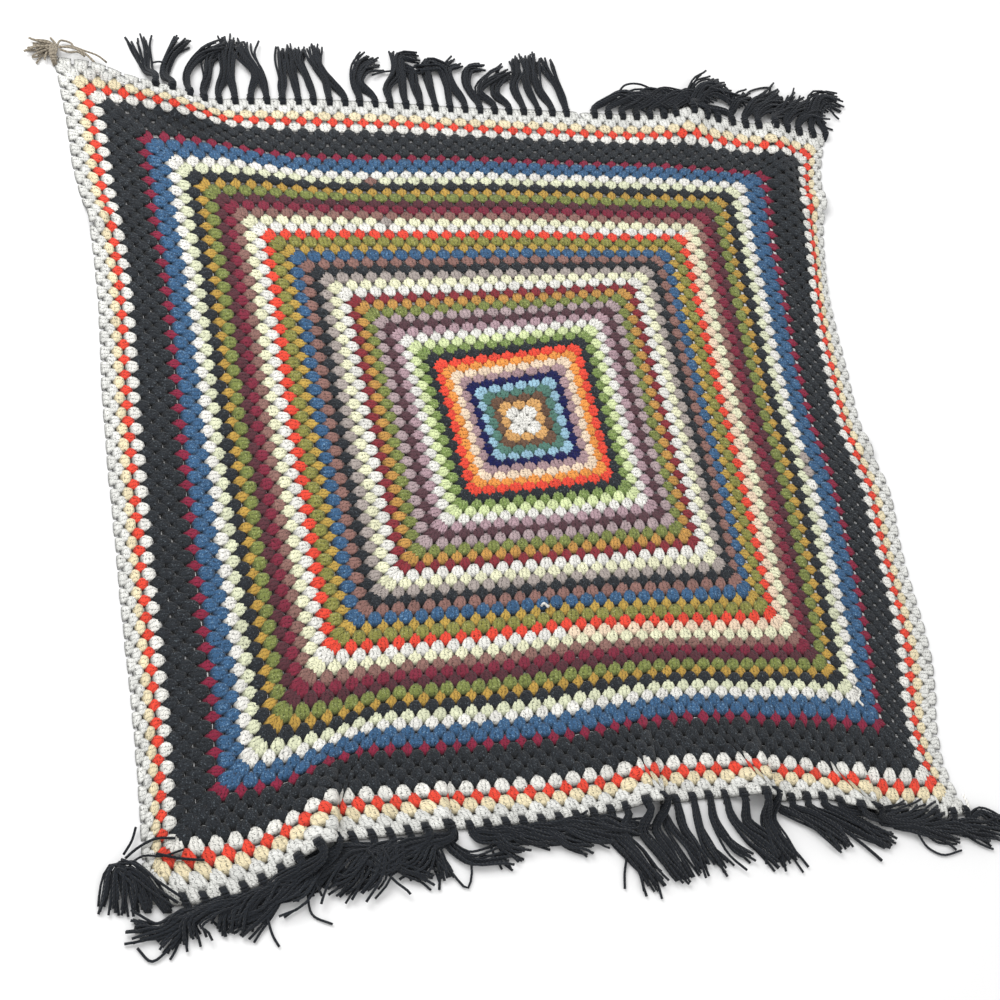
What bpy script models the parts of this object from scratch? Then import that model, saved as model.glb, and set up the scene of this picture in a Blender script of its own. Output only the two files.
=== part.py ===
"""A granny square blanket lying flat, rippled along its border, with a fringe on its far and near edges.

The blanket is worked in the round from its centre. A place on it is given by its ideal flat coordinates
(u, v), counted in rounds from the centre, and place() says where that spot of the real, uneven cloth lies.
Far is +Y, near is -Y, and the origin is under the middle of the blanket and its fringes.
"""

import bpy
import numpy as np

# Driving dimensions, in metres. A round is one ring of clusters, and EDGE is the outer edge of the last one.
THICKNESS = 0.004
EDGE = 52.5
FLAT_ROUND = 30.0
RINGS = (FLAT_ROUND, 36.0, 41.0, 45.5, 49.0, 51.0, EDGE)
STEPS = 48
GAP = 0.0005
TINY = 1e-9

FRINGE_SPLIT = 2
SPINE_WIDTH = 0.011
SPINE_THICKNESS = 0.007
TOOTH_STEPS = 4
TIP_THICKNESS = 0.005

# Where the four corners of a round lie, by its number.
CORNER_COLUMNS = ("round", "far_left", "far_right", "near_right", "near_left")
CORNERS = (
    (0.0, (0.000, 0.000), (0.000, 0.000), (0.000, 0.000), (0.000, 0.000)),
    (11.0, (-0.116, 0.104), (0.110, 0.124), (0.120, -0.095), (-0.100, -0.105)),
    (21.0, (-0.236, 0.222), (0.230, 0.233), (0.238, -0.213), (-0.230, -0.225)),
    (32.0, (-0.394, 0.378), (0.382, 0.351), (0.363, -0.373), (-0.383, -0.379)),
    (40.0, (-0.504, 0.489), (0.501, 0.450), (0.451, -0.479), (-0.484, -0.511)),
    (49.0, (-0.615, 0.615), (0.628, 0.524), (0.541, -0.640), (-0.614, -0.634)),
    (52.5, (-0.666, 0.668), (0.676, 0.556), (0.587, -0.684), (-0.643, -0.684)),
)

# How far each side is drawn in from the straight line between its corners, at three places across the
# border. along runs from -1 to 1, left to right or near to far.
BOW_COLUMNS = ("along", "at_round_32", "at_round_43", "at_edge")
FAR_BOW = (
    (-1.00, 0.000, 0.000, 0.000),
    (-0.90, 0.000, 0.000, 0.016),
    (-0.82, 0.000, 0.003, 0.038),
    (-0.70, 0.000, 0.013, 0.056),
    (-0.58, 0.000, 0.020, 0.046),
    (-0.45, 0.000, 0.020, 0.036),
    (-0.22, 0.000, 0.013, 0.024),
    (0.00, -0.002, 0.007, 0.018),
    (0.25, -0.003, 0.004, 0.006),
    (0.45, -0.002, 0.000, -0.002),
    (0.65, 0.000, -0.004, -0.020),
    (0.78, 0.000, -0.003, -0.009),
    (0.90, 0.000, -0.001, -0.006),
    (1.00, 0.000, 0.000, 0.000),
)
RIGHT_BOW = (
    (-1.00, 0.000, 0.000, 0.000),
    (-0.90, 0.000, 0.000, 0.020),
    (-0.60, -0.002, -0.009, 0.006),
    (-0.30, -0.003, -0.007, 0.019),
    (-0.13, -0.002, -0.003, 0.020),
    (0.00, 0.000, 0.008, 0.042),
    (0.25, 0.001, 0.014, 0.053),
    (0.48, 0.001, 0.012, 0.058),
    (0.62, 0.001, 0.011, 0.048),
    (0.74, 0.000, 0.010, 0.035),
    (0.90, 0.000, 0.003, 0.020),
    (1.00, 0.000, 0.000, 0.000),
)
NEAR_BOW = (
    (-1.00, 0.000, 0.000, 0.000),
    (-0.88, 0.000, 0.004, -0.006),
    (-0.78, 0.002, 0.012, 0.004),
    (-0.70, 0.003, 0.028, 0.022),
    (-0.60, 0.005, 0.040, 0.050),
    (-0.45, 0.006, 0.037, 0.056),
    (-0.20, 0.008, 0.034, 0.054),
    (0.00, 0.013, 0.035, 0.054),
    (0.17, 0.014, 0.042, 0.060),
    (0.40, 0.012, 0.045, 0.060),
    (0.51, 0.010, 0.040, 0.048),
    (0.65, 0.006, 0.030, 0.040),
    (0.72, 0.004, 0.026, 0.018),
    (0.80, 0.003, 0.021, 0.002),
    (0.90, 0.001, 0.010, -0.006),
    (1.00, 0.000, 0.000, 0.000),
)
LEFT_BOW = (
    (-1.00, 0.000, 0.000, 0.000),
    (-0.80, -0.002, 0.005, 0.008),
    (-0.30, -0.003, 0.005, 0.013),
    (0.10, -0.004, 0.007, 0.018),
    (0.40, -0.002, 0.009, 0.028),
    (0.54, 0.000, 0.008, 0.026),
    (0.68, 0.001, 0.004, 0.013),
    (0.85, 0.000, 0.001, 0.009),
    (1.00, 0.000, 0.000, 0.000),
)
# Each side runs from its start corner to its end corner. inward is 1 where the middle of the blanket is on
# the left of that run, and -1 where it is on the right.
SIDE_COLUMNS = ("side", "start", "end", "inward", "bow")
SIDES = (
    ("far", "far_left", "far_right", -1, FAR_BOW),
    ("right", "near_right", "far_right", 1, RIGHT_BOW),
    ("near", "near_left", "near_right", 1, NEAR_BOW),
    ("left", "near_left", "far_left", -1, LEFT_BOW),
)

# Soft ridges of slack cloth. Each runs inwards from its outer end, where it is highest, and fades out.
FOLD_COLUMNS = ("outer", "inner", "height", "half_width")
FOLDS = (
    ((-0.500, 0.600), (-0.395, 0.535), 0.028, 0.045),
    ((0.421, 0.603), (0.395, 0.490), 0.018, 0.042),
    ((0.627, 0.407), (0.515, 0.390), 0.016, 0.036),
    ((0.615, -0.067), (0.530, -0.060), 0.014, 0.032),
    ((-0.392, -0.627), (-0.300, -0.450), 0.026, 0.045),
    ((0.105, -0.612), (0.096, -0.470), 0.026, 0.040),
    ((0.268, -0.612), (0.238, -0.480), 0.024, 0.040),
    ((0.410, -0.630), (0.398, -0.545), 0.020, 0.040),
    ((-0.636, 0.368), (-0.550, 0.358), 0.014, 0.036),
    ((0.566, 0.360), (0.562, 0.110), 0.012, 0.042),
)

# Clumps of tassels, as teeth of the comb along each fringed edge. first and last count steps along the edge,
# from its left end.
TOOTH_COLUMNS = ("first", "last", "left_tip", "right_tip", "thickness")
FAR_TEETH = (
    (0, 2, (-0.716, 0.678), (-0.692, 0.713), 0.009),
    (9, 11, (-0.541, 0.716), (-0.512, 0.713), 0.008),
    (12, 14, (-0.468, 0.712), (-0.444, 0.716), 0.008),
    (15, 18, (-0.428, 0.680), (-0.408, 0.676), 0.009),
    (19, 23, (-0.400, 0.710), (-0.364, 0.708), 0.012),
    (25, 27, (-0.354, 0.706), (-0.334, 0.710), 0.009),
    (28, 34, (-0.300, 0.703), (-0.232, 0.705), 0.010),
    (36, 38, (-0.157, 0.684), (-0.133, 0.687), 0.008),
    (40, 47, (-0.112, 0.694), (-0.022, 0.688), 0.010),
    (49, 54, (0.006, 0.686), (0.088, 0.676), 0.010),
    (55, 60, (0.103, 0.702), (0.140, 0.692), 0.010),
    (61, 65, (0.152, 0.697), (0.194, 0.664), 0.009),
    (68, 79, (0.262, 0.632), (0.430, 0.640), 0.012),
    (80, 84, (0.452, 0.652), (0.508, 0.658), 0.012),
    (85, 88, (0.544, 0.656), (0.600, 0.650), 0.010),
    (89, 92, (0.620, 0.646), (0.656, 0.636), 0.010),
    (93, 96, (0.674, 0.652), (0.722, 0.618), 0.010),
)
NEAR_TEETH = (
    (0, 2, (-0.714, -0.625), (-0.706, -0.715), 0.014),
    (3, 6, (-0.672, -0.738), (-0.626, -0.758), 0.012),
    (7, 12, (-0.580, -0.728), (-0.530, -0.738), 0.013),
    (13, 18, (-0.506, -0.736), (-0.462, -0.738), 0.013),
    (19, 24, (-0.442, -0.712), (-0.408, -0.726), 0.012),
    (25, 28, (-0.392, -0.704), (-0.338, -0.703), 0.012),
    (29, 34, (-0.305, -0.682), (-0.244, -0.704), 0.010),
    (35, 38, (-0.214, -0.708), (-0.152, -0.698), 0.010),
    (39, 49, (-0.128, -0.664), (-0.035, -0.664), 0.009),
    (50, 56, (0.014, -0.744), (0.066, -0.778), 0.011),
    (58, 63, (0.094, -0.744), (0.172, -0.743), 0.011),
    (65, 74, (0.200, -0.716), (0.274, -0.732), 0.011),
    (76, 83, (0.372, -0.728), (0.464, -0.728), 0.011),
    (84, 92, (0.496, -0.718), (0.572, -0.716), 0.012),
    (94, 96, (0.606, -0.736), (0.650, -0.702), 0.010),
)


def column(table, columns, name):
    """One named column of a table."""
    return np.array([row[columns.index(name)] for row in table], float)


def curve(xs, ys, x):
    """Reads a smooth cubic curve that passes through the points (xs, ys) at every x."""
    slopes = np.gradient(ys, xs)
    x = np.clip(x, xs[0], xs[-1])
    k = np.clip(np.searchsorted(xs, x) - 1, 0, len(xs) - 2)
    span = xs[k + 1] - xs[k]
    s = (x - xs[k]) / span
    rise = ys[k + 1] - ys[k]
    lead = slopes[k] * span - rise
    tail = rise - slopes[k + 1] * span
    return ys[k] + s * rise + s * (1 - s) * ((1 - s) * lead + s * tail)


def corner_of(name, r):
    """Ground place of one corner of round r."""
    rounds = column(CORNERS, CORNER_COLUMNS, "round")
    places = column(CORNERS, CORNER_COLUMNS, name)
    return np.stack([curve(rounds, places[:, axis], r) for axis in (0, 1)], -1)


def drawn_in(bow, along, r):
    """How far a side is drawn in at this place along it, for round r."""
    places = column(bow, BOW_COLUMNS, "along")
    total = 0.0
    knots = np.array([0.0, 21.0, 32.0, 43.0, EDGE])
    for knot, name in enumerate(BOW_COLUMNS[1:], start=2):
        share = curve(knots, np.eye(len(knots))[knot], r)
        total = total + share * curve(places, column(bow, BOW_COLUMNS, name), along)
    return total


def lift_at(x, y):
    """Height of the underside of the cloth over the ground."""
    height = np.zeros_like(x)
    for outer, inner, top, half_width in FOLDS:
        run = np.subtract(inner, outer)
        length = np.hypot(*run)
        along = ((x - outer[0]) * run[0] + (y - outer[1]) * run[1]) / length
        across = ((x - outer[0]) * run[1] - (y - outer[1]) * run[0]) / length
        fade = np.cos(np.clip(along / length, 0, 1) * np.pi / 2) ** 2
        arch = np.cos(np.clip(across / half_width, -1, 1) * np.pi / 2) ** 2
        height = np.maximum(height, top * fade * arch)
    return height


def place(u, v):
    """Where the underside of the cloth lies at the flat coordinates (u, v), counted in rounds."""
    u, v = np.broadcast_arrays(np.asarray(u, float), np.asarray(v, float))
    r = np.maximum(np.abs(u), np.abs(v))
    ground = np.zeros(u.shape + (2,))
    for side, start, end, inward, bow in SIDES:
        level, along = (v, u) if side in ("far", "near") else (u, v)
        outward = 1 if side in ("far", "right") else -1
        here = level * outward >= r - TINY
        along = along / np.maximum(r, TINY)
        a, b = corner_of(start, r), corner_of(end, r)
        run = b - a
        left_of_run = np.stack([-run[..., 1], run[..., 0]], -1)
        left_of_run /= np.maximum(np.hypot(run[..., 0], run[..., 1]), TINY)[..., None]
        spot = a + run * ((along + 1) / 2)[..., None]
        spot = spot + left_of_run * (inward * drawn_in(bow, along, r))[..., None]
        ground[here] = spot[here]
    return ground[..., 0], ground[..., 1], lift_at(ground[..., 0], ground[..., 1])


def ring(r, steps):
    """Flat coordinates round one square of the blanket, anticlockwise from its near left corner."""
    along = np.linspace(-1, 1, steps + 1)[:-1]
    full = np.ones(steps)
    u = np.concatenate([along, full, -along, -full])
    v = np.concatenate([-full, along, full, -along])
    return r * u, r * v


def add_solid(name, bottom, top, faces, colour):
    """Makes a closed solid from two copies of a sheet of faces, with a wall round their open edges."""
    count = len(bottom)
    edges = {edge for face in faces for edge in zip(face, face[1:] + face[:1])}
    rim = sorted(edge for edge in edges if edge[::-1] not in edges)
    polygons = [tuple(i + count for i in face) for face in faces]
    polygons += [face[::-1] for face in faces]
    polygons += [(a, b, b + count, a + count) for a, b in rim]
    mesh = bpy.data.meshes.new(name)
    mesh.from_pydata(np.concatenate([bottom, top]).tolist(), [], polygons)
    mesh.validate()
    mesh.update()
    solid = bpy.data.objects.new(name, mesh)
    bpy.context.scene.collection.objects.link(solid)
    solid.data.materials.append(yarn_material(name + "_yarn", colour))
    return solid


def yarn_material(name, colour):
    """Matt yarn."""
    material = bpy.data.materials.new(name)
    material.use_nodes = True
    shader = material.node_tree.nodes["Principled BSDF"]
    shader.inputs["Base Color"].default_value = (*colour, 1.0)
    shader.inputs["Roughness"].default_value = 0.9
    shader.inputs["Metallic"].default_value = 0.0
    return material


def add_blanket():
    """The crocheted square: its flat middle is one polygon, and its rippled border is a band of quads."""
    rings = [np.stack(place(*ring(r, STEPS)), -1) for r in RINGS]
    bottom = np.concatenate(rings)
    around = 4 * STEPS
    faces = [tuple(range(around))]
    for level in range(len(RINGS) - 1):
        for i in range(around):
            j = (i + 1) % around
            inner, outer = level * around, (level + 1) * around
            faces.append((inner + i, outer + i, outer + j, inner + j))
    top = bottom + (0, 0, THICKNESS)
    return add_solid("blanket", bottom, top, faces, (0.30, 0.24, 0.22))


def edge_line(side):
    """The rim of the blanket on one side, left to right, split into the steps of the fringe."""
    along = np.linspace(-EDGE, EDGE, STEPS + 1)
    level = np.full(STEPS + 1, EDGE if side == "far" else -EDGE)
    rim = np.stack(place(along, level), -1)
    steps = np.linspace(0, STEPS, STEPS * FRINGE_SPLIT + 1)
    return np.stack([np.interp(steps, np.arange(STEPS + 1), rim[:, axis]) for axis in range(3)], -1)


def add_fringe(side, teeth):
    """One comb: a spine of knots along the edge, and a tooth for each clump of tassels."""
    rim = edge_line(side)
    run = np.gradient(rim[:, :2], axis=0)
    run /= np.hypot(run[:, 0], run[:, 1])[:, None]
    out = np.stack([-run[:, 1], run[:, 0]], -1) * (1 if side == "far" else -1)
    inner, outer = rim.copy(), rim.copy()
    inner[:, :2] += out * GAP
    outer[:, :2] += out * (GAP + SPINE_WIDTH)
    count = len(rim)
    bottom = [*inner, *outer]
    thickness = [SPINE_THICKNESS] * (2 * count)
    faces = [(i, i + 1, count + i + 1, count + i) for i in range(count - 1)]
    for first, last, left_tip, right_tip, body in teeth:
        roots = np.arange(first, last + 1)
        share = (roots - first) / (last - first)
        tips = np.outer(1 - share, left_tip) + np.outer(share, right_tip)
        row = list(count + roots)
        for step in range(1, TOOTH_STEPS + 1):
            s = step / TOOTH_STEPS
            ground = outer[roots, :2] * (1 - s) + tips * s
            height = outer[roots, 2] * (1 - s) ** 2
            start = len(bottom)
            bottom += list(np.column_stack([ground, height]))
            thickness += [body if step < TOOTH_STEPS else TIP_THICKNESS] * len(roots)
            for i in range(len(roots) - 1):
                faces.append((row[i], row[i + 1], start + i + 1, start + i))
            row = list(range(start, start + len(roots)))
    if side == "near":
        faces = [face[::-1] for face in faces]
    bottom = np.array(bottom)
    top = bottom + np.outer(thickness, (0, 0, 1))
    return add_solid("fringe_" + side, bottom, top, faces, (0.03, 0.035, 0.04))


def centre_on_origin(solids):
    """Moves the whole object so that the origin is under the middle of its box."""
    points = np.array([vertex.co for solid in solids for vertex in solid.data.vertices])
    middle = (points.min(axis=0) + points.max(axis=0)) / 2
    for solid in solids:
        for vertex in solid.data.vertices:
            vertex.co.x -= middle[0]
            vertex.co.y -= middle[1]


for old in list(bpy.data.objects):
    bpy.data.objects.remove(old, do_unlink=True)

centre_on_origin([add_blanket(), add_fringe("far", FAR_TEETH), add_fringe("near", NEAR_TEETH)])
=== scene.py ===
"""Looks of the granny square blanket: its crochet clusters, its fringe, and the studio round it."""

from functools import partial

import bpy
import numpy as np
from mathutils import Matrix, Vector


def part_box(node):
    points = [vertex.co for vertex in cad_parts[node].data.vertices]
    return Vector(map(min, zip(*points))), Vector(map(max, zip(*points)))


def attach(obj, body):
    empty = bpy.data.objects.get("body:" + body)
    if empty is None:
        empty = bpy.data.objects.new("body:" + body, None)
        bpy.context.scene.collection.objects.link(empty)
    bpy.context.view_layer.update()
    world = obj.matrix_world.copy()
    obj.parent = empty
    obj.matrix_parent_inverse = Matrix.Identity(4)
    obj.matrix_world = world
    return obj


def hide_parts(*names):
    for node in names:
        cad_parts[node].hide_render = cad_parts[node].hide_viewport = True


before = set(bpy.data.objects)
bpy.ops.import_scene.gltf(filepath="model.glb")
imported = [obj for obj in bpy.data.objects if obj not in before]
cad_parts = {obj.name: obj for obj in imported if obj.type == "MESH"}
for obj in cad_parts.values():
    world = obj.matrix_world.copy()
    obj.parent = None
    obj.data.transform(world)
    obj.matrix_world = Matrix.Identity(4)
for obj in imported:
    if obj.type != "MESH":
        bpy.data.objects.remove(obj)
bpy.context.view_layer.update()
rng = np.random.default_rng(52)


# --- The way the cloth lies ---
# The blanket is one crocheted square, slack and a little skewed, with soft ridges in its border.
# Flat coordinates (u, v) are counted in rounds from its centre, and place() says where that spot lies.

EDGE = 52.5
TINY = 1e-9
CORNERS = {
    "round": (0.0, 11.0, 21.0, 32.0, 40.0, 49.0, 52.5),
    "far_left": (
        (0.000, 0.000), (-0.125, 0.106), (-0.246, 0.224), (-0.394, 0.371), (-0.500, 0.480),
        (-0.623, 0.618), (-0.666, 0.668),
    ),
    "far_right": (
        (0.000, 0.000), (0.117, 0.133), (0.237, 0.245), (0.375, 0.361), (0.485, 0.447),
        (0.634, 0.519), (0.676, 0.556),
    ),
    "near_right": (
        (0.000, 0.000), (0.129, -0.104), (0.247, -0.225), (0.368, -0.380), (0.453, -0.494),
        (0.547, -0.639), (0.587, -0.684),
    ),
    "near_left": (
        (0.000, 0.000), (-0.106, -0.120), (-0.235, -0.239), (-0.383, -0.383), (-0.492, -0.508),
        (-0.616, -0.631), (-0.643, -0.684),
    ),
}
# A side is straight up to about round 21, and is drawn in from there out.
BOW_ROUNDS = (0.0, 21.0, 32.0, 43.0, EDGE)
# Each row is a place along the side, from -1 to 1, and how far rounds 32, 43 and the edge are drawn in
# there, in metres.
FAR_BOW = (
    (-1.00, 0.000, 0.000, 0.000), (-0.90, 0.000, 0.000, 0.016), (-0.82, 0.000, 0.003, 0.038),
    (-0.70, 0.000, 0.013, 0.056), (-0.58, 0.000, 0.020, 0.046), (-0.45, 0.000, 0.020, 0.036),
    (-0.22, 0.000, 0.013, 0.024), (0.00, -0.002, 0.007, 0.018), (0.25, -0.003, 0.004, 0.006),
    (0.45, -0.002, 0.000, -0.002), (0.65, 0.000, -0.004, -0.020), (0.78, 0.000, -0.003, -0.009),
    (0.90, 0.000, -0.001, -0.006), (1.00, 0.000, 0.000, 0.000),
)
RIGHT_BOW = (
    (-1.00, 0.000, 0.000, 0.000), (-0.90, 0.000, 0.000, 0.020), (-0.60, -0.002, -0.009, 0.006),
    (-0.30, -0.003, -0.007, 0.019), (-0.13, -0.002, -0.003, 0.020), (0.00, 0.000, 0.008, 0.042),
    (0.25, 0.001, 0.014, 0.053), (0.48, 0.001, 0.012, 0.058), (0.62, 0.001, 0.011, 0.048),
    (0.74, 0.000, 0.010, 0.035), (0.90, 0.000, 0.003, 0.020), (1.00, 0.000, 0.000, 0.000),
)
NEAR_BOW = (
    (-1.00, 0.000, 0.000, 0.000), (-0.88, 0.000, 0.004, -0.006), (-0.78, 0.002, 0.012, 0.004),
    (-0.70, 0.003, 0.028, 0.022), (-0.60, 0.005, 0.040, 0.050), (-0.45, 0.006, 0.037, 0.056),
    (-0.20, 0.008, 0.034, 0.054), (0.00, 0.013, 0.035, 0.054), (0.17, 0.014, 0.042, 0.060),
    (0.40, 0.012, 0.045, 0.060), (0.51, 0.010, 0.040, 0.048), (0.65, 0.006, 0.030, 0.040),
    (0.72, 0.004, 0.026, 0.018), (0.80, 0.003, 0.021, 0.002), (0.90, 0.001, 0.010, -0.006),
    (1.00, 0.000, 0.000, 0.000),
)
LEFT_BOW = (
    (-1.00, 0.000, 0.000, 0.000), (-0.80, -0.002, 0.005, 0.008), (-0.30, -0.003, 0.005, 0.013),
    (0.10, -0.004, 0.007, 0.018), (0.40, -0.002, 0.009, 0.028), (0.54, 0.000, 0.008, 0.026),
    (0.68, 0.001, 0.004, 0.013), (0.85, 0.000, 0.001, 0.009), (1.00, 0.000, 0.000, 0.000),
)
# Each side runs from its start corner to its end corner, with the middle of the blanket on its left (1)
# or on its right (-1).
SIDES = (
    ("far", "far_left", "far_right", -1, FAR_BOW),
    ("right", "near_right", "far_right", 1, RIGHT_BOW),
    ("near", "near_left", "near_right", 1, NEAR_BOW),
    ("left", "near_left", "far_left", -1, LEFT_BOW),
)
# Soft ridges of slack cloth: outer end, inner end, height at the outer end, and half width on the left
# and on the right.
FOLDS = (
    ((-0.500, 0.600), (-0.395, 0.535), 0.028, 0.045, 0.045),
    ((0.421, 0.603), (0.395, 0.490), 0.018, 0.042, 0.042),
    ((0.627, 0.407), (0.515, 0.390), 0.016, 0.036, 0.036),
    ((0.615, -0.067), (0.530, -0.060), 0.014, 0.032, 0.032),
    ((-0.391, -0.627), (-0.366, -0.460), 0.030, 0.060, 0.011),
    ((-0.228, -0.630), (-0.222, -0.520), 0.016, 0.050, 0.010),
    ((0.088, -0.620), (0.096, -0.470), 0.032, 0.055, 0.011),
    ((0.262, -0.620), (0.258, -0.480), 0.032, 0.065, 0.011),
    ((0.423, -0.655), (0.421, -0.550), 0.026, 0.060, 0.011),
    ((-0.636, 0.368), (-0.550, 0.358), 0.014, 0.036, 0.036),
    ((0.566, 0.360), (0.562, 0.110), 0.012, 0.042, 0.042),
)
# The near border is pleated: where a spot of the slack cloth lies along the side, from -1 to 1, once
# gathered. The pleats start at one round and are full a few rounds further out.
PLEATS_FROM, PLEATS_RUN = 41, 6
SLACK_ALONG = (-1.0, -0.631, -0.573, -0.349, -0.309, 0.138, 0.196, 0.437, 0.495, 0.716, 0.774, 1.0)
PLEATED_ALONG = (-1.0, -0.590, -0.574, -0.325, -0.309, 0.188, 0.204, 0.472, 0.488, 0.733, 0.749, 1.0)


def curve(xs, ys, x):
    """Reads a smooth cubic curve that passes through the points (xs, ys) at every x."""
    xs, ys = np.asarray(xs, float), np.asarray(ys, float)
    slopes = np.gradient(ys, xs)
    x = np.clip(x, xs[0], xs[-1])
    k = np.clip(np.searchsorted(xs, x) - 1, 0, len(xs) - 2)
    span = xs[k + 1] - xs[k]
    s = (x - xs[k]) / span
    rise = ys[k + 1] - ys[k]
    lead = slopes[k] * span - rise
    tail = rise - slopes[k + 1] * span
    return ys[k] + s * rise + s * (1 - s) * ((1 - s) * lead + s * tail)


def corner_of(name, r):
    """Ground place of one corner of round r."""
    places = np.array(CORNERS[name])
    slope = (places[-1] - places[-2]) / (CORNERS["round"][-1] - CORNERS["round"][-2])
    past = np.maximum(r - CORNERS["round"][-1], 0)[..., None]
    return np.stack([curve(CORNERS["round"], places[:, k], r) for k in (0, 1)], -1) + past * slope


def drawn_in(bow, along, r):
    """How far a side is drawn in at this place along it, for round r."""
    bow = np.array(bow)
    total = 0.0
    for k, weights in enumerate(np.eye(len(BOW_ROUNDS))[2:], start=1):
        share = curve(BOW_ROUNDS, weights, r)
        total = total + share * curve(bow[:, 0], bow[:, k], along)
    return total


def lift_at(x, y):
    """Height of the underside of the cloth over the ground."""
    height = np.zeros_like(x)
    for outer, inner, top, left_width, right_width in FOLDS:
        run = np.subtract(inner, outer)
        length = np.hypot(*run)
        along = ((x - outer[0]) * run[0] + (y - outer[1]) * run[1]) / length
        across = ((x - outer[0]) * run[1] - (y - outer[1]) * run[0]) / length
        fade = np.cos(np.clip(along / length, 0, 1) * np.pi / 2) ** 2
        on_right = (across > 0) == (outer[1] < inner[1])
        half_width = np.where(on_right, right_width, left_width)
        arch = np.cos(np.clip(across / half_width, -1, 1) * np.pi / 2) ** 2
        height = np.maximum(height, top * fade * arch)
    return height


def ground_at(u, v):
    """Where the flat coordinates (u, v) lie on the ground, measured from the middle of the square."""
    u, v = np.broadcast_arrays(np.asarray(u, float), np.asarray(v, float))
    r = np.maximum(np.abs(u), np.abs(v))
    ground = np.zeros(u.shape + (2,))
    for side, start, end, inward, bow in SIDES:
        level, along = (v, u) if side in ("far", "near") else (u, v)
        outward = 1 if side in ("far", "right") else -1
        here = level * outward >= r - TINY
        along = along / np.maximum(r, TINY)
        if side == "near":
            gathered = np.clip((r - PLEATS_FROM) / PLEATS_RUN, 0, 1)
            along = along + gathered * (np.interp(along, SLACK_ALONG, PLEATED_ALONG) - along)
        a, b = corner_of(start, r), corner_of(end, r)
        run = b - a
        left_of_run = np.stack([-run[..., 1], run[..., 0]], -1)
        left_of_run /= np.maximum(np.hypot(run[..., 0], run[..., 1]), TINY)[..., None]
        spot = a + run * ((along + 1) / 2)[..., None]
        spot = spot + left_of_run * (inward * drawn_in(bow, along, r))[..., None]
        ground[here] = spot[here]
    return ground


# The middle of the square isn't quite over the origin, so the blanket's CAD box says where it is.
rim = np.linspace(-EDGE, EDGE, 49)
full = np.full(rim.shape, EDGE)
edges = ((rim, full), (rim, -full), (full, rim), (-full, rim))
outline = np.concatenate([ground_at(u, v) for u, v in edges])
low, high = (np.array(corner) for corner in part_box("blanket"))
middle = (low + high)[:2] / 2 - (outline.min(axis=0) + outline.max(axis=0)) / 2


def place(u, v, w):
    """Where the flat coordinates (u, v) lie, at the height w above the underside of the cloth."""
    ground = ground_at(u, v)
    x, y = ground[..., 0], ground[..., 1]
    nudge = 0.001
    lift = lift_at(x, y)
    slope_x = (lift_at(x + nudge, y) - lift) / nudge
    slope_y = (lift_at(x, y + nudge) - lift) / nudge
    upright = w / np.sqrt(1 + slope_x**2 + slope_y**2)
    return np.stack([
        x + middle[0] - slope_x * upright,
        y + middle[1] - slope_y * upright,
        lift + upright,
    ], -1)


# --- Crochet yarn ---
# Worsted yarn in many colours, some of them flecked tweeds. Every round is worked in one yarn, named here
# from the centre out, and many rounds repeat a yarn from further in.

YARNS = {
    # name: (colour, fleck colour, how flecked)
    "white": ("#F0EEE7", "#CBC9C3", 0.12),
    "tan": ("#DCA868", "#B87A34", 0.2),
    "brown": ("#6E5240", "#3A2A22", 0.2),
    "sea_green": ("#557F72", "#28544A", 0.25),
    "light_blue": ("#98C0D4", "#6FA6C4", 0.2),
    "navy": ("#0C1250", "#070A2A", 0.2),
    "mauve": ("#AE9094", "#826468", 0.2),
    "peach": ("#F5DCC0", "#D8B48E", 0.12),
    "light_orange": ("#F39C4A", "#D0742A", 0.2),
    "orange_red": ("#F04C38", "#CC3A26", 0.2),
    # Charcoal's pale flecks stand partly for the sheen on the yarn, painted as spots, and partly for its
    # lighter fibres.
    "charcoal": ("#24282D", "#5C646A", 0.5),
    "sage_tweed": ("#7D9450", "#B9C68A", 0.6),
    "lime": ("#E0EDB2", "#B9CB84", 0.15),
    "dusty_mauve": ("#B698A0", "#7C5A68", 0.25),
    "dark_plum": ("#5A3C43", "#2A171D", 0.25),
    "mauve_grey": ("#B5A0A2", "#86706F", 0.2),
    "green_tweed": ("#7D8646", "#B4BC7C", 0.55),
    "amber": ("#C8964E", "#A87428", 0.25),
    "brick": ("#8C3038", "#551A20", 0.25),
    "cream": ("#F1F0CC", "#CFCDA0", 0.12),
    "silver_mauve": ("#ADA29C", "#938580", 0.25),
    "brown_mauve": ("#946E66", "#6A463C", 0.5),
    "blue_tweed": ("#385E84", "#7C9FBE", 0.55),
    "mustard": ("#C2A04C", "#9A7E2E", 0.3),
    "olive_tweed": ("#8C8A44", "#BCBA7C", 0.55),
    "burgundy": ("#822A3E", "#541428", 0.3),
    "plum_brown": ("#5A3038", "#321A22", 0.3),
    "gold": ("#C09A48", "#9A7A2C", 0.3),
    "pale_cream": ("#E2E5C4", "#C8CBA0", 0.12),
    "crimson": ("#8C2440", "#5E1529", 0.25),
    "pale_yellow": ("#F5E6C0", "#DCC08C", 0.12),
    "flecked_white": ("#EBEBE6", "#8C8C88", 0.2),
}
ROUND_YARNS = (
    "white white tan brown sea_green light_blue navy mauve peach light_orange "
    "orange_red charcoal sage_tweed lime white dusty_mauve dark_plum mauve_grey green_tweed amber "
    "brick white cream silver_mauve charcoal brown_mauve blue_tweed mustard olive_tweed orange_red "
    "white cream brown_mauve burgundy plum_brown green_tweed gold charcoal pale_cream white "
    "blue_tweed blue_tweed crimson charcoal charcoal charcoal charcoal white orange_red pale_yellow "
    "flecked_white flecked_white"
).split()
SIDE_ORDER = ("far", "right", "near", "left")
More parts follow.
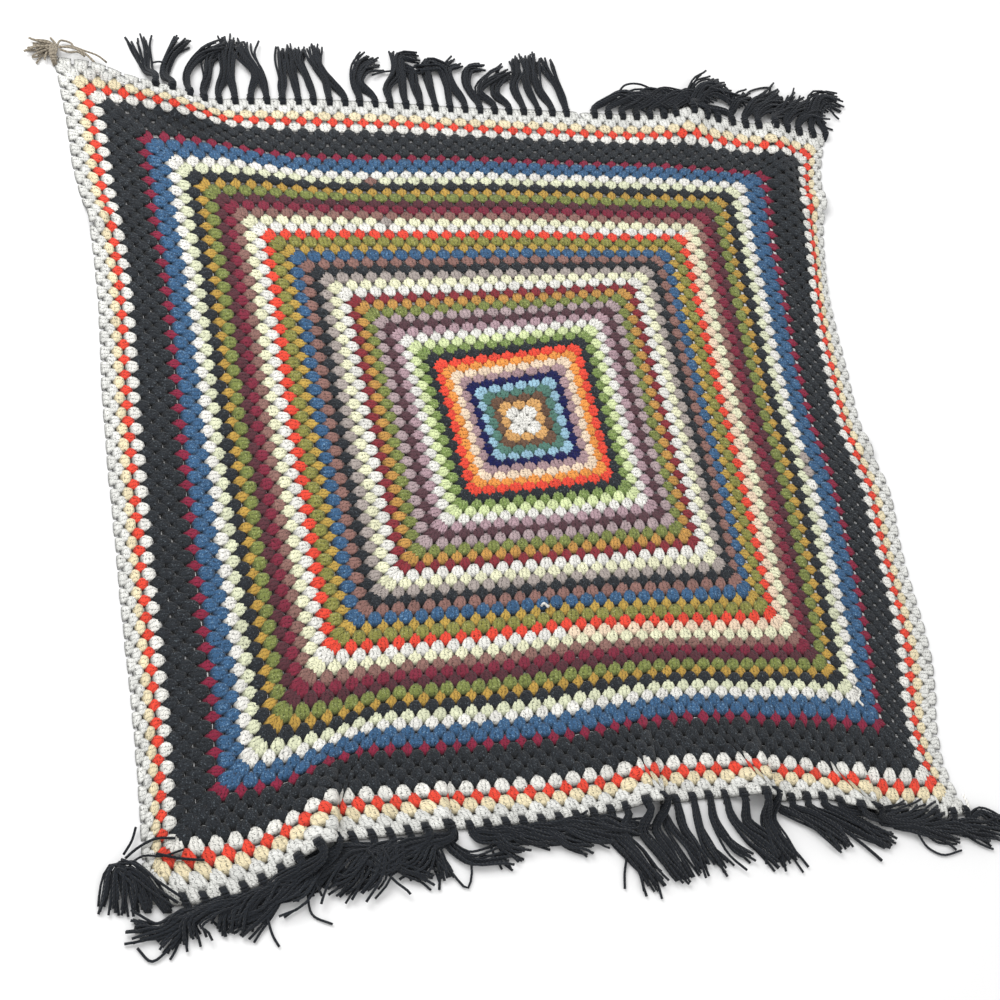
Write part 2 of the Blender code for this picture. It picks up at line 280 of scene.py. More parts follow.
# How thick the yarn of some rounds is against the others. Thin yarn makes small clusters, and the rounds
# beside it spread over them.
YARN_THICKNESS = {
    20: 0.90, 21: 0.86, 27: 1.06, 28: 0.84, 29: 1.06, 36: 1.06, 37: 0.84, 38: 1.04, 42: 1.06, 43: 0.78,
    44: 1.06, 48: 1.02, 49: 0.88, 50: 1.06, 51: 1.06,
}
# Where another ball was joined in, or the wool has browned: round, side, first and last cluster, yarn.
OTHER_YARN = (
    (31, "right", 0, 30, "peach"),
    (31, "near", 0, 14, "peach"),
    (39, "far", 12, 12, "brown_mauve"),
    (32, "far", 9, 9, "silver_mauve"),
    (40, "right", 22, 23, "silver_mauve"),
)


def linear(code):
    """A colour code such as #FFCC00 as linear red, green and blue."""
    steps = np.array([int(code[k : k + 2], 16) for k in (1, 3, 5)]) / 255
    return np.where(steps <= 0.04045, steps / 12.92, ((steps + 0.055) / 1.055) ** 2.4)


def socket(group, name, kind, direction="INPUT", value=None):
    """Adds a socket to a node group."""
    made = group.interface.new_socket(name=name, in_out=direction, socket_type=kind)
    if value is not None:
        made.default_value = value
    return made


def math_node(tree, operation, *inputs):
    """A Math node with its inputs linked or set."""
    node = tree.nodes.new("ShaderNodeMath")
    node.operation = operation
    for socket_in, value in zip(node.inputs, inputs):
        if isinstance(value, (int, float)):
            socket_in.default_value = value
        else:
            tree.links.new(value, socket_in)
    return node.outputs[0]


def ridges(tree, phase):
    """Rounded ridges, one for each whole step of the phase."""
    wave = math_node(tree, "SINE", math_node(tree, "MULTIPLY", phase, np.pi))
    return math_node(tree, "ABSOLUTE", wave)


def noise_node(tree, place_socket, scale, detail):
    """The value of a noise texture over the piece."""
    node = tree.nodes.new("ShaderNodeTexNoise")
    node.inputs["Scale"].default_value = scale
    node.inputs["Detail"].default_value = detail
    tree.links.new(place_socket, node.inputs["Vector"])
    return node.outputs["Fac"]


def relief_group(name):
    """A group for yarn relief and painted groove shade, from the piece's UV and places, with the UV split
    up.
    """
    group = bpy.data.node_groups.new(name, "ShaderNodeTree")
    socket(group, "UV", "NodeSocketVector")
    socket(group, "Place", "NodeSocketVector")
    socket(group, "Height", "NodeSocketFloat", "OUTPUT")
    socket(group, "Groove Shade", "NodeSocketFloat", "OUTPUT")
    inside = group.nodes.new("NodeGroupInput")
    outside = group.nodes.new("NodeGroupOutput")
    parts = group.nodes.new("ShaderNodeSeparateXYZ")
    group.links.new(inside.outputs["UV"], parts.inputs[0])
    return group, inside, outside, parts


def make_ply_group():
    """The twist of plied yarn: slanting ridges along a strand, from its own UV, under loose fibres."""
    group, inside, outside, parts = relief_group("plied_yarn")
    math = partial(math_node, group)
    turns = math("MULTIPLY", parts.outputs[0], 2.0)
    phase = math("ADD", turns, parts.outputs[1])
    ridge = ridges(group, phase)
    fibres = noise_node(group, inside.outputs["Place"], 1500.0, 3.0)
    height = math("ADD", ridge, math("MULTIPLY", fibres, 0.5))
    group.links.new(height, outside.inputs["Height"])
    # Painted shade between the plies, darkest deep in the groove.
    painted_groove_shade = math("POWER", math("SUBTRACT", 1.0, ridge), 2.0)
    group.links.new(painted_groove_shade, outside.inputs["Groove Shade"])
    return group


def make_stitch_group():
    """Three posts side by side across a cluster, each wrapped by slanting loops of plied yarn.

    Its UV runs from -1 to 1 across the cluster, and from the root, -1, to the head, 1.
    """
    group, inside, outside, parts = relief_group("stitch_relief")
    math = partial(math_node, group)
    loose = noise_node(group, inside.outputs["Place"], 170.0, 2.0)
    wander = math("MULTIPLY", math("SUBTRACT", loose, 0.5), 1.6)
    across = math("ADD", math("MULTIPLY", parts.outputs[0], 1.5), wander)
    off_post = math("SUBTRACT", across, math("ROUND", across))
    doubled = math("MULTIPLY", off_post, 2.0)
    squared = math("SUBTRACT", 1.0, math("MULTIPLY", doubled, doubled))
    post = math("SQRT", math("MAXIMUM", squared, 0.0))
    slant = math("MULTIPLY", off_post, 0.9)
    phase = math("ADD", math("MULTIPLY", parts.outputs[1], 2.3), slant)
    phase = math("ADD", phase, math("MULTIPLY", wander, 1.3))
    wrap = ridges(group, phase)
    plies = math("ADD", math("MULTIPLY", phase, 3.0), math("MULTIPLY", across, 2.0))
    ply = ridges(group, plies)
    fibres = noise_node(group, inside.outputs["Place"], 1300.0, 3.0)
    wraps = math("ADD", math("MULTIPLY", wrap, 0.6), 0.7)
    height = math("MULTIPLY", post, wraps)
    height = math("ADD", height, math("MULTIPLY", ply, 0.16))
    height = math("ADD", height, math("MULTIPLY", fibres, 0.25))
    group.links.new(height, outside.inputs["Height"])
    # Painted shade between the posts, darkest in pits between the wraps, and a little between the wraps
    # elsewhere.
    between_posts = math("POWER", math("SUBTRACT", 1.0, post), 1.2)
    between_wraps = math("POWER", math("SUBTRACT", 1.0, wrap), 1.6)
    pits = math("ADD", math("MULTIPLY", between_wraps, 2.2), 0.05)
    painted_groove_shade = math("MULTIPLY", between_posts, pits)
    painted_groove_shade = math("ADD", painted_groove_shade, math("MULTIPLY", between_wraps, 0.2))
    group.links.new(math("MINIMUM", painted_groove_shade, 1.0), outside.inputs["Groove Shade"])
    return group


ply_group = make_ply_group()
stitch_group = make_stitch_group()


def make_fleck_group():
    """Tweed flecks: small soft spots of another colour in the yarn, and slow changes of shade."""
    group = bpy.data.node_groups.new("tweed_flecks", "ShaderNodeTree")
    math = partial(math_node, group)
    socket(group, "Place", "NodeSocketVector")
    socket(group, "Yarn", "NodeSocketColor")
    socket(group, "Fleck", "NodeSocketColor")
    socket(group, "Amount", "NodeSocketFloat")
    socket(group, "Colour", "NodeSocketColor", "OUTPUT")
    inside = group.nodes.new("NodeGroupInput")
    outside = group.nodes.new("NodeGroupOutput")
    spots = group.nodes.new("ShaderNodeTexNoise")
    spots.inputs["Scale"].default_value = 420.0
    spots.inputs["Detail"].default_value = 2.0
    spots.inputs["Roughness"].default_value = 0.7
    group.links.new(inside.outputs["Place"], spots.inputs["Vector"])
    edge = math("SUBTRACT", 0.72, math("MULTIPLY", inside.outputs["Amount"], 0.26))
    mask = group.nodes.new("ShaderNodeMapRange")
    mask.interpolation_type = "SMOOTHSTEP"
    group.links.new(spots.outputs["Fac"], mask.inputs["Value"])
    group.links.new(edge, mask.inputs["From Min"])
    group.links.new(math("ADD", edge, 0.09), mask.inputs["From Max"])
    mix = group.nodes.new("ShaderNodeMix")
    mix.data_type = "RGBA"
    group.links.new(mask.outputs["Result"], mix.inputs["Factor"])
    group.links.new(inside.outputs["Yarn"], mix.inputs["A"])
    group.links.new(inside.outputs["Fleck"], mix.inputs["B"])
    slow = group.nodes.new("ShaderNodeTexNoise")
    slow.inputs["Scale"].default_value = 45.0
    slow.inputs["Detail"].default_value = 3.0
    group.links.new(inside.outputs["Place"], slow.inputs["Vector"])
    shade = group.nodes.new("ShaderNodeHueSaturation")
    group.links.new(mix.outputs["Result"], shade.inputs["Color"])
    brightness = math("ADD", 0.82, math("MULTIPLY", slow.outputs["Fac"], 0.36))
    group.links.new(brightness, shade.inputs["Value"])
    group.links.new(shade.outputs["Color"], outside.inputs["Colour"])
    return group


fleck_group = make_fleck_group()


def attribute(tree, name, output):
    """An output of the piece's own attribute."""
    node = tree.nodes.new("ShaderNodeAttribute")
    node.attribute_name = name
    return node.outputs[output]


def yarn_material(name, surface, relief, groove_shade):
    """Matt wool with colour, flecks and painted shade from the piece's attributes and its relief."""
    material = bpy.data.materials.new(name)
    material.use_nodes = True
    tree = material.node_tree
    shader = tree.nodes["Principled BSDF"]
    where = tree.nodes.new("ShaderNodeTexCoord")
    flecks = tree.nodes.new("ShaderNodeGroup")
    flecks.node_tree = fleck_group
    tree.links.new(where.outputs["Object"], flecks.inputs["Place"])
    tree.links.new(attribute(tree, "yarn", "Color"), flecks.inputs["Yarn"])
    tree.links.new(attribute(tree, "fleck", "Color"), flecks.inputs["Fleck"])
    tree.links.new(attribute(tree, "tweed", "Fac"), flecks.inputs["Amount"])
    ply = tree.nodes.new("ShaderNodeGroup")
    ply.node_tree = surface
    tree.links.new(where.outputs["UV"], ply.inputs["UV"])
    tree.links.new(where.outputs["Object"], ply.inputs["Place"])
    # Painted shade: the yarn colour is darkened in the grooves of the relief and by the piece's painted
    # shading.
    shade = math_node(tree, "MULTIPLY", ply.outputs["Groove Shade"], groove_shade)
    open_share = math_node(tree, "SUBTRACT", 1.0, shade)
    light = math_node(tree, "MULTIPLY", open_share, attribute(tree, "painted_shading", "Fac"))
    dark = tree.nodes.new("ShaderNodeMix")
    dark.data_type = "RGBA"
    dark.blend_type = "MULTIPLY"
    dark.inputs["Factor"].default_value = 1.0
    tree.links.new(flecks.outputs["Colour"], dark.inputs["A"])
    tree.links.new(light, dark.inputs["B"])
    tree.links.new(dark.outputs["Result"], shader.inputs["Base Color"])
    bump = tree.nodes.new("ShaderNodeBump")
    bump.inputs["Strength"].default_value = 1.0
    bump.inputs["Distance"].default_value = relief
    tree.links.new(ply.outputs["Height"], bump.inputs["Height"])
    tree.links.new(bump.outputs["Normal"], shader.inputs["Normal"])
    shader.inputs["Roughness"].default_value = 0.92
    shader.inputs["Sheen Weight"].default_value = 0.12
    shader.inputs["Sheen Roughness"].default_value = 0.5
    shader.inputs["Specular IOR Level"].default_value = 0.25
    return material


crochet_material = yarn_material("crochet_yarn", stitch_group, relief=0.0011, groove_shade=0.8)


# --- One cluster ---
# Three double crochet stitches worked into one gap: three thick posts that start together at the root and
# spread to a plump, rounded head. Low loops round them close most of the gap between clusters, and are
# painted almost black as the shade in that gap.

ACROSS, UP = 6, 4
bpy.ops.object.select_all(action="DESELECT")
bpy.ops.mesh.primitive_grid_add(x_subdivisions=ACROSS, y_subdivisions=UP, size=2)
cluster = bpy.context.object
bpy.ops.object.mode_set(mode="EDIT")
bpy.ops.mesh.select_all(action="SELECT")
bpy.ops.mesh.region_to_loop()
bpy.ops.mesh.extrude_region_move(TRANSFORM_OT_translate={"value": (0, 0, -1)})
bpy.ops.mesh.edge_face_add()
bpy.ops.object.mode_set(mode="OBJECT")

cluster_points = np.array([vertex.co for vertex in cluster.data.vertices])
cluster_faces = [tuple(face.vertices) for face in cluster.data.polygons]
bpy.data.objects.remove(cluster, do_unlink=True)

side_to_side, root_to_head, below = cluster_points.T
low_loop = below < -0.5
head_row = root_to_head > 0.9
root_row = root_to_head < -0.9
ROWS = (-1.0, -0.5, 0.0, 0.5, 1.0)
rounded = side_to_side**2 * np.where(head_row, -0.08, np.where(root_row, 0.14, 0.0))
stitch_q = curve(ROWS, (-0.60, -0.24, 0.14, 0.62, 1.02), root_to_head) + rounded
half_width = curve(ROWS, (0.30, 0.37, 0.41, 0.43, 0.375), root_to_head)
crown = curve(ROWS, (0.84, 0.97, 1.0, 0.97, 0.68), root_to_head)
posts = curve((0.0, 0.333, 0.667, 1.0), (1.0, 0.87, 0.93, 0.45), np.abs(side_to_side))
head_end = np.clip(root_to_head, 0, 1)
stitch_p = side_to_side * half_width * np.where(low_loop, 0.75 + 0.38 * head_end, 1.0)
stitch_w = np.where(low_loop, 0.0002, 0.0060 * crown * posts)
reach_out = np.where(low_loop, 0.28 * head_end + 0.2 * np.clip(-root_to_head, 0, 1), 0.0)
on_edge = np.maximum(np.abs(side_to_side), np.abs(root_to_head)) > 0.99


def painted_shade_tone(loops, head, rim):
    """Painted shade on a cluster's points: its low loops, head and rim are painted darker, as shade."""
    return np.where(low_loop, loops, np.where(head_row, head, np.where(on_edge, rim, 1.0)))


# Painted shade as a factor on the yarn colour: almost black on the low loops for the shade in the gaps, dark
# on the head row for the shadow of the next round, and darker on the rim for the shade at the sides.
stitch_painted_shade = painted_shade_tone(0.02, 0.48, 0.66)
tight_painted_shade = painted_shade_tone(0.45, 0.62, 0.76)
pale_painted_shade = painted_shade_tone(np.where(head_row, 0.02, 0.4), 0.42, 0.8)

# Widths and places in a round are counted in rounds. The last cluster of a side stands CORNER_INSET from its
# corner, leaning and a little smaller. In most rounds the clusters overlap those beside them, and
# TIGHT_ROUNDS are worked tight in thicker yarn; they and the rounds inside them get lighter painted shade.
# Yarn lighter than PALE gets lighter painted shade on its rim and most low loops, and darker on its head.
CORNER_INSET = 0.85
WIDEST = 2.25
OVERLAP = 1.08
LAST_OVERLAPPED, FLUSH_ROUNDS = 43, (6, 30)
TIGHT_ROUNDS, TIGHT_THICKNESS = range(3, 13), 1.18
LAST_ROUND = 52
CORNER_LEAN = 0.22
CORNER_SHRINK = 0.08
PALE = 0.5


def side_turn(a, b, side):
    """Turns a place on the far side, a along it and b out from the centre, to another side."""
    return {"far": (a, b), "right": (b, -a), "near": (-a, -b), "left": (-b, a)}[side]


def yarn_of(number, side, index):
    """The yarn of one cluster."""
    for other_round, other_side, first, last, name in OTHER_YARN:
        if number == other_round and side == other_side and first <= index <= last:
            return YARNS[name]
    return YARNS[ROUND_YARNS[number - 1]]


def make_mesh(name, points, faces, layers, material, uv=None):
    """A new object from points, faces and per-point attributes."""
    mesh = bpy.data.meshes.new(name)
    mesh.from_pydata(points.tolist(), [], faces)
    for layer, values in layers.items():
        if values.ndim == 2:
            colour = mesh.attributes.new(layer, "FLOAT_COLOR", "POINT")
            colour.data.foreach_set("color", np.column_stack([values, np.ones(len(values))]).ravel())
        else:
            mesh.attributes.new(layer, "FLOAT", "POINT").data.foreach_set("value", values)
    if uv is not None:
        corner_points = np.empty(len(mesh.loops), int)
        mesh.loops.foreach_get("vertex_index", corner_points)
        mesh.uv_layers.new(name="strand").data.foreach_set("uv", uv[corner_points].ravel())
    mesh.materials.append(material)
    mesh.polygons.foreach_set("use_smooth", np.ones(len(mesh.polygons), bool))
    mesh.update()
    piece = bpy.data.objects.new(name, mesh)
    bpy.context.scene.collection.objects.link(piece)
    return piece


def make_band(name, first, last):
    """All clusters of the rounds first to last as one mesh."""
    u, v, w, colours, flecks, tweeds, painted_shadings, uvs = [], [], [], [], [], [], [], []
    for number in range(first, last + 1):
        pitch = 2 * (number - CORNER_INSET) / (number - 1) if number > 1 else 2 * CORNER_INSET
        flush = number > LAST_OVERLAPPED or number in FLUSH_ROUNDS
        width = min(pitch, WIDEST) * (1.0 if flush else OVERLAP)
        thickness = YARN_THICKNESS.get(number, TIGHT_THICKNESS if number in TIGHT_ROUNDS else 1.0)
        widths = width * np.where(low_loop, max(thickness, 1.0), thickness)
        for side in SIDE_ORDER:
            for index in range(number):
                step = index - (number - 1) / 2
                corner = (index == number - 1) - (index == 0) if number > 1 else 0
                lean = rng.normal(0, 0.05) + CORNER_LEAN * corner
                size = rng.normal(1, 0.03) * (1 - CORNER_SHRINK * abs(corner))
                q = stitch_q - 0.5 + reach_out * (0.0 if number == LAST_ROUND else 1.0)
                a = step * pitch + rng.normal(0, 0.03) + stitch_p * widths * size + q * lean
                b = number + q + rng.normal(0, 0.03)
                side_u, side_v = side_turn(a, b, side)
                u.append(side_u)
                v.append(side_v)
                w.append(stitch_w * rng.normal(1, 0.05) * YARN_THICKNESS.get(number, 1.0))
                colour, fleck, tweed = yarn_of(number, side, index)
                shade = rng.normal(1, 0.04)
                colours.append(np.tile(linear(colour) * shade, (len(q), 1)))
                flecks.append(np.tile(linear(fleck) * shade, (len(q), 1)))
                tweeds.append(np.full(len(q), tweed))
                open_painted_shade = pale_painted_shade if linear(colour).mean() > PALE else stitch_painted_shade
                painted_shadings.append(tight_painted_shade if number < TIGHT_ROUNDS.stop else open_painted_shade)
                uvs.append(np.column_stack([side_to_side, root_to_head]))
    count = len(u)
    points = place(np.concatenate(u), np.concatenate(v), np.concatenate(w))
    each = len(cluster_points)
    faces = [tuple(i + k * each for i in face) for k in range(count) for face in cluster_faces]
    layers = {
        "yarn": np.clip(np.concatenate(colours), 0, 1),
        "fleck": np.clip(np.concatenate(flecks), 0, 1),
        "tweed": np.concatenate(tweeds),
        "painted_shading": np.concatenate(painted_shadings),
    }
    band = make_mesh(name, points, faces, layers, crochet_material, np.concatenate(uvs))
    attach(band, "root")
    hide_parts("blanket")
    return band


# --- The crocheted square ---
# One piece of crochet worked in the round: each round adds one cluster to every side. It is made here in
# four bands of rounds, which meet without a seam.

BANDS = (
    ("middle_rounds", 1, 29), ("inner_rounds", 30, 35), ("outer_rounds", 36, 43),
    ("border_rounds", 44, LAST_ROUND),
)
for name, first, last in BANDS:
    band = make_band(name, first, last)


# --- Fringe ---
# Charcoal yarn knotted into the gaps of the last round on the far and near edges. A tassel is a bundle of
# strands that loops over the edge, is drawn through its own loop, and lies loose on the ground, parting at
# its tip. The first one on the far edge has bleached, and a few gaps of that edge are bare.

STRANDS = 12
STRAND_POINTS = 13
STRAND_SIDES = 5
STRAND_RADIUS = 0.0019
LOWEST = 1.1 * STRAND_RADIUS
BUNDLE_RADIUS = 0.0068
CHARCOAL = ("#1F2329", "#101317", 0.35)
BLEACHED = ("#9A9080", "#5C554C", 0.4)
BARE = (1, 2, 3, 4, 5, 34)
GAPS = 53
MIDDLE_GAP = 26
GAP_PITCH = 2.015
TWIST_LENGTH = 0.006
# A tassel leaves its knot through these rounds and heights. Tassels of one row lie TASSEL_SPACING apart.
KNOT_EXIT = ((52.4, 0.0085), (53.0, 0.0065))
TASSEL_SPACING = 0.008
# A knot: where its strands lie in the gap, and their rounds and heights over the edge, then the rounds of
# the two turns drawn tight across them, and the arch of each.
STRANDS_OVER = (-0.24, -0.08, 0.08, 0.24)
OVER_EDGE = ((51.5, 0.000), (51.65, 0.0068), (52.05, 0.0092), (52.5, 0.0090), (52.95, 0.0055), (53.1, 0.002))
TURNS_AT = (52.15, 52.45)
TURN_ARCH = ((-0.38, 0.003), (-0.3, 0.0095), (-0.1, 0.0122), (0.1, 0.0122), (0.3, 0.0095), (0.38, 0.003))
# How each tassel lies: first and last gap, three spots along it (x, y and height) and how far its
# strands part.
FAR_TASSELS = (
    (0, 0, ((-0.667, 0.685, 0.008), (-0.680, 0.686, 0.007), (-0.697, 0.684, 0.006)), 0.012),
    (6, 6, ((-0.522, 0.650, 0.007), (-0.525, 0.685, 0.006), (-0.527, 0.712, 0.004)), 0.006),
    (7, 7, ((-0.494, 0.640, 0.007), (-0.482, 0.678, 0.006), (-0.456, 0.712, 0.004)), 0.004),
    (8, 8, ((-0.459, 0.640, 0.009), (-0.430, 0.684, 0.009), (-0.396, 0.700, 0.010)), 0.004),
    (9, 9, ((-0.425, 0.640, 0.007), (-0.420, 0.672, 0.006), (-0.404, 0.694, 0.006)), 0.004),
    (10, 11, ((-0.393, 0.645, 0.008), (-0.388, 0.685, 0.008), (-0.382, 0.712, 0.004)), 0.007),
    (12, 13, ((-0.345, 0.645, 0.009), (-0.362, 0.685, 0.009), (-0.366, 0.710, 0.004)), 0.007),
    (14, 14, ((-0.302, 0.640, 0.007), (-0.300, 0.675, 0.006), (-0.296, 0.702, 0.004)), 0.004),
    (15, 15, ((-0.284, 0.640, 0.008), (-0.284, 0.675, 0.008), (-0.280, 0.702, 0.004)), 0.004),
    (16, 16, ((-0.262, 0.640, 0.008), (-0.270, 0.672, 0.008), (-0.268, 0.702, 0.004)), 0.004),
    (17, 18, ((-0.228, 0.640, 0.008), (-0.242, 0.672, 0.007), (-0.243, 0.703, 0.004)), 0.007),
    (19, 20, ((-0.178, 0.635, 0.008), (-0.166, 0.668, 0.008), (-0.145, 0.686, 0.005)), 0.007),
    (21, 21, ((-0.128, 0.622, 0.007), (-0.108, 0.655, 0.008), (-0.100, 0.698, 0.005)), 0.004),
    (22, 22, ((-0.100, 0.640, 0.009), (-0.094, 0.690, 0.010), (-0.066, 0.690, 0.008)), 0.004),
    (23, 23, ((-0.078, 0.635, 0.007), (-0.080, 0.662, 0.008), (-0.098, 0.668, 0.008)), 0.005),
    (24, 24, ((-0.052, 0.640, 0.008), (-0.046, 0.682, 0.008), (-0.020, 0.672, 0.006)), 0.004),
    (25, 25, ((-0.022, 0.640, 0.007), (-0.030, 0.668, 0.010), (-0.070, 0.664, 0.010)), 0.004),
    (26, 26, ((-0.012, 0.640, 0.007), (-0.014, 0.672, 0.006), (0.004, 0.686, 0.004)), 0.004),
    (27, 27, ((0.014, 0.640, 0.007), (0.026, 0.672, 0.006), (0.050, 0.676, 0.006)), 0.004),
    (28, 28, ((0.034, 0.622, 0.007), (0.062, 0.655, 0.009), (0.092, 0.672, 0.007)), 0.004),
    (29, 29, ((0.062, 0.622, 0.007), (0.078, 0.652, 0.006), (0.092, 0.666, 0.006)), 0.004),
    (30, 30, ((0.098, 0.640, 0.007), (0.108, 0.668, 0.006), (0.109, 0.698, 0.004)), 0.004),
    (31, 31, ((0.124, 0.640, 0.008), (0.130, 0.670, 0.007), (0.133, 0.702, 0.004)), 0.004),
    (32, 32, ((0.143, 0.635, 0.008), (0.141, 0.665, 0.008), (0.147, 0.700, 0.004)), 0.004),
    (33, 33, ((0.178, 0.640, 0.007), (0.168, 0.672, 0.008), (0.163, 0.700, 0.004)), 0.005),
    (43, 45, ((0.430, 0.612, 0.010), (0.450, 0.645, 0.015), (0.478, 0.657, 0.010)), 0.009),
    (46, 47, ((0.545, 0.605, 0.008), (0.565, 0.620, 0.009), (0.600, 0.636, 0.006)), 0.007),
    (48, 49, ((0.600, 0.595, 0.008), (0.620, 0.612, 0.009), (0.642, 0.628, 0.006)), 0.006),
    (50, 52, ((0.660, 0.600, 0.010), (0.682, 0.628, 0.010), (0.706, 0.622, 0.006)), 0.009),
)
NEAR_TASSELS = (
    (0, 0, ((-0.655, -0.650, 0.013), (-0.674, -0.634, 0.014), (-0.690, -0.684, 0.005)), 0.007),
    (1, 1, ((-0.640, -0.652, 0.015), (-0.660, -0.636, 0.015), (-0.668, -0.690, 0.005)), 0.007),
    (2, 2, ((-0.600, -0.702, 0.008), (-0.625, -0.716, 0.007), (-0.655, -0.708, 0.006)), 0.006),
    (3, 3, ((-0.585, -0.705, 0.008), (-0.620, -0.722, 0.007), (-0.656, -0.724, 0.006)), 0.006),
    (4, 4, ((-0.565, -0.700, 0.009), (-0.600, -0.722, 0.007), (-0.620, -0.745, 0.005)), 0.006),
    (5, 5, ((-0.545, -0.692, 0.008), (-0.575, -0.704, 0.009), (-0.605, -0.715, 0.008)), 0.005),
    (6, 7, ((-0.500, -0.690, 0.008), (-0.535, -0.705, 0.007), (-0.540, -0.724, 0.005)), 0.007),
    (8, 8, ((-0.470, -0.675, 0.009), (-0.490, -0.708, 0.008), (-0.535, -0.724, 0.006)), 0.005),
    (9, 9, ((-0.455, -0.675, 0.009), (-0.478, -0.705, 0.008), (-0.520, -0.734, 0.005)), 0.005),
    (10, 11, ((-0.425, -0.655, 0.010), (-0.430, -0.676, 0.010), (-0.428, -0.690, 0.007)), 0.007),
    (12, 13, ((-0.385, -0.645, 0.010), (-0.392, -0.660, 0.010), (-0.380, -0.668, 0.007)), 0.007),
    (14, 14, ((-0.330, -0.645, 0.008), (-0.345, -0.660, 0.009), (-0.325, -0.670, 0.007)), 0.005),
    (15, 16, ((-0.300, -0.645, 0.010), (-0.302, -0.665, 0.010), (-0.262, -0.690, 0.007)), 0.006),
    (17, 17, ((-0.260, -0.640, 0.008), (-0.245, -0.665, 0.007), (-0.236, -0.692, 0.005)), 0.005),
    (18, 18, ((-0.226, -0.640, 0.007), (-0.205, -0.668, 0.007), (-0.145, -0.672, 0.006)), 0.006),
    (27, 27, ((0.012, -0.655, 0.007), (0.035, -0.690, 0.007), (0.062, -0.728, 0.005)), 0.005),
    (28, 28, ((0.030, -0.655, 0.007), (0.048, -0.690, 0.007), (0.070, -0.735, 0.005)), 0.005),
    (29, 29, ((0.058, -0.660, 0.008), (0.080, -0.695, 0.008), (0.103, -0.732, 0.005)), 0.005),
    (30, 30, ((0.080, -0.655, 0.008), (0.094, -0.690, 0.008), (0.110, -0.730, 0.005)), 0.005),
    (31, 31, ((0.100, -0.650, 0.007), (0.120, -0.685, 0.007), (0.138, -0.715, 0.005)), 0.005),
    (32, 32, ((0.122, -0.655, 0.007), (0.135, -0.690, 0.007), (0.142, -0.718, 0.005)), 0.005),
    (33, 33, ((0.148, -0.655, 0.007), (0.158, -0.695, 0.007), (0.172, -0.718, 0.005)), 0.005),
    (34, 34, ((0.172, -0.650, 0.007), (0.188, -0.690, 0.007), (0.215, -0.714, 0.005)), 0.005),
    (35, 35, ((0.198, -0.640, 0.007), (0.218, -0.680, 0.007), (0.262, -0.718, 0.005)), 0.005),
    (36, 36, ((0.222, -0.660, 0.007), (0.250, -0.690, 0.007), (0.270, -0.722, 0.005)), 0.005),
    (37, 38, ((0.258, -0.660, 0.009), (0.268, -0.695, 0.008), (0.278, -0.722, 0.005)), 0.007),
    (39, 39, ((0.300, -0.658, 0.007), (0.335, -0.680, 0.007), (0.370, -0.706, 0.005)), 0.005),
    (40, 40, ((0.330, -0.662, 0.007), (0.355, -0.688, 0.007), (0.366, -0.714, 0.005)), 0.005),
    (41, 41, ((0.358, -0.668, 0.007), (0.398, -0.694, 0.007), (0.442, -0.714, 0.005)), 0.005),
    (42, 42, ((0.385, -0.668, 0.007), (0.420, -0.696, 0.007), (0.448, -0.712, 0.005)), 0.005),
    (4, 5, ((-0.560, -0.700, 0.011), (-0.590, -0.715, 0.012), (-0.590, -0.735, 0.005)), 0.008),
    (6, 7, ((-0.500, -0.690, 0.011), (-0.520, -0.708, 0.010), (-0.530, -0.722, 0.005)), 0.008),
    (8, 9, ((-0.450, -0.680, 0.010), (-0.472, -0.698, 0.010), (-0.494, -0.706, 0.005)), 0.008),
    (10, 11, ((-0.412, -0.665, 0.010), (-0.440, -0.690, 0.012), (-0.466, -0.692, 0.008)), 0.008),
    (12, 13, ((-0.374, -0.650, 0.012), (-0.396, -0.670, 0.013), (-0.416, -0.688, 0.006)), 0.008),
    (13, 14, ((-0.346, -0.655, 0.011), (-0.364, -0.676, 0.010), (-0.388, -0.688, 0.006)), 0.008),
    (14, 15, ((-0.318, -0.650, 0.011), (-0.332, -0.680, 0.012), (-0.350, -0.692, 0.006)), 0.008),
    (15, 16, ((-0.290, -0.655, 0.010), (-0.318, -0.672, 0.012), (-0.334, -0.656, 0.012)), 0.007),
    (16, 18, ((-0.262, -0.650, 0.012), (-0.276, -0.664, 0.012), (-0.290, -0.668, 0.006)), 0.008),
    (52, 52, ((0.605, -0.685, 0.007), (0.620, -0.695, 0.006), (0.640, -0.712, 0.005)), 0.006),
)
# Tassels swept along the edge: side, first and last gap, three steps away from the knot, and how far
# they part.
SWEPT_TASSELS = (
    ("far", 35, 42, ((0.020, 0.020, 0.010), (0.055, 0.040, 0.012), (0.100, 0.026, 0.007)), 0.007),
    ("far", 45, 50, ((0.008, 0.020, 0.010), (0.028, 0.036, 0.011), (0.058, 0.042, 0.006)), 0.008),
    ("near", 19, 26, ((0.012, -0.008, 0.009), (0.036, -0.014, 0.009), (0.072, -0.018, 0.006)), 0.005),
    ("near", 19, 26, ((0.006, -0.016, 0.009), (0.026, -0.026, 0.010), (0.056, -0.028, 0.006)), 0.006),
    ("near", 43, 47, ((0.030, -0.018, 0.010), (0.070, -0.028, 0.010), (0.112, -0.030, 0.006)), 0.007),
    ("near", 48, 51, ((0.024, -0.014, 0.009), (0.050, -0.022, 0.008), (0.078, -0.026, 0.005)), 0.006),
)
